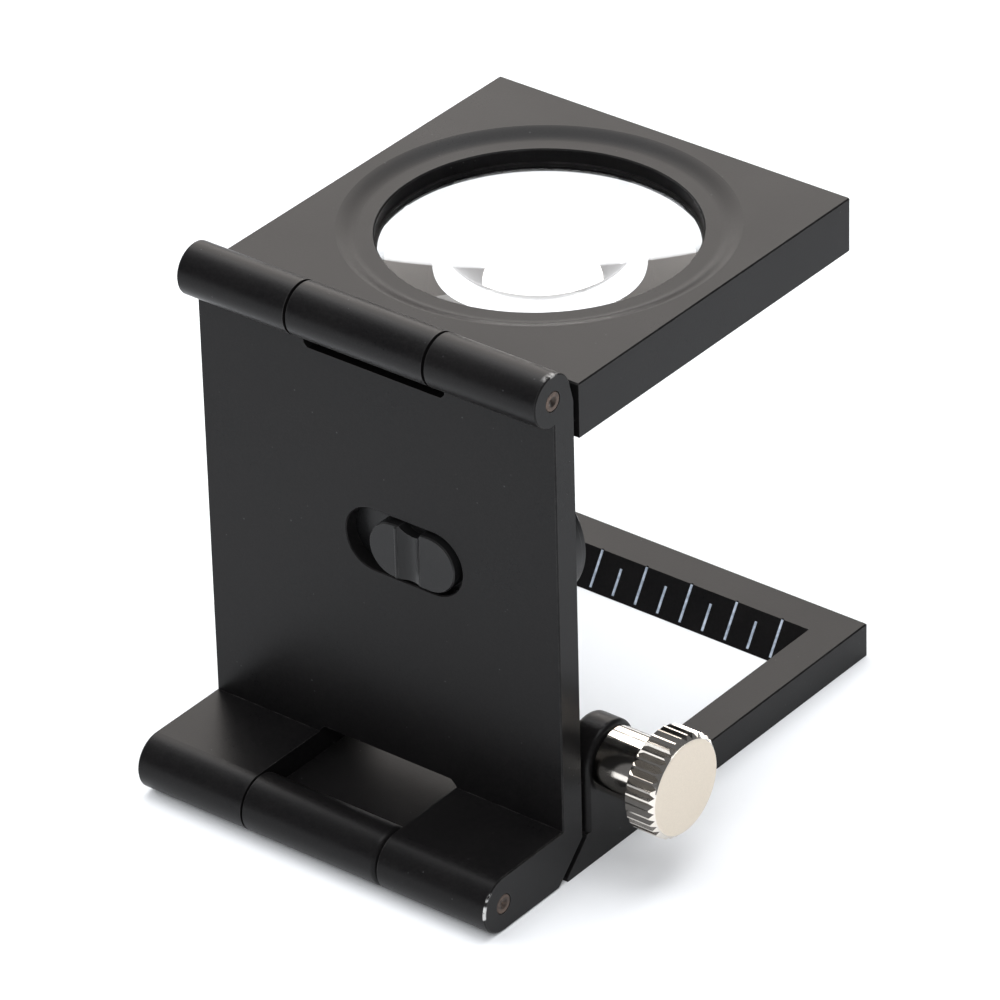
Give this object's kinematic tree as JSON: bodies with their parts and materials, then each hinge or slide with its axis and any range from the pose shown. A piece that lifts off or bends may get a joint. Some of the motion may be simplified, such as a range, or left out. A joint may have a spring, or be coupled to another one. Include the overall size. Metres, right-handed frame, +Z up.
{
  "type": "folding viewing loupe",
  "caption": "Folding black metal loupe on a square windowed base with a measuring scale, hinged upright with a lamp and slide switch, large round lens and a knob-driven pointer.",
  "frame": {"origin": "on the flat underside of the base, on its centre line, under the front face of the upright", "axes": "+X along the hinge pins towards the knob, +Y from the upright over the window towards the scale, +Z up towards the lens"},
  "size_m": [0.0581, 0.0702, 0.0637],
  "materials": {
    "black_finish": "satin black finish on machined metal",
    "white_paint": "white paint filled into engraved lines",
    "steel": "turned steel",
    "nickel": "bright nickel plating",
    "bronze_pin": "dulled bronze pin",
    "black_plastic": "moulded black plastic",
    "lens_glass": "polished optical glass",
    "board": "circuit board laminate",
    "led_resin": "clear white lamp resin",
    "cell_can": "bright cell can"
  },
  "bodies": {
    "base": {"base_frame": "black_finish", "scale_marks": "white_paint"},
    "knob": {"traverse_knob": "nickel", "lead_screw": "steel", "knob_grub_screw": "steel"},
    "pointer": {"pointer_carriage": "black_finish", "pointer_needle": "steel", "needle_screws": "steel"},
    "upright": {"upright": "black_finish", "lower_hinge_pin": "bronze_pin", "upper_hinge_pin": "bronze_pin", "lamp_housing": "black_plastic", "lamp_board": "board", "lamp_led": "led_resin", "button_cells": "cell_can", "cell_springs": "steel", "cell_bridge": "steel", "lamp_cover": "black_plastic", "lamp_screws": "steel"},
    "switch": {"switch_slider": "black_plastic", "switch_wiper": "steel"},
    "lens_panel": {"lens_frame": "black_finish", "lens": "lens_glass", "lens_ring": "black_finish"}
  },
  "joints": [
    {"name": "upright_fold", "type": "hinge", "parent": "base", "child": "upright", "pos_m": [0, -0.0104, 0.0034], "axis": [1, 0, 0], "range_deg": [0, 270]},
    {"name": "lens_fold", "type": "hinge", "parent": "upright", "child": "lens_panel", "pos_m": [0, 0, 0.0606], "axis": [1, 0, 0], "range_deg": [0, 270]},
    {"name": "switch_slide", "type": "slide", "parent": "upright", "child": "switch", "axis": [-1, 0, 0], "range_m": [0, 0.0032]},
    {"name": "knob_turn", "type": "hinge", "parent": "base", "child": "knob", "pos_m": [0, 0.0089, 0.0117], "axis": [-1, 0, 0], "range_deg": [0, 5400]},
    {"name": "pointer_slide", "type": "slide", "parent": "base", "child": "pointer", "axis": [1, 0, 0], "range_m": [0, 0.03]}
  ],
  "couplings": [
    {"joint": "pointer_slide", "follows": "knob_turn", "m_per_rad": 0.00031831}
  ]
}
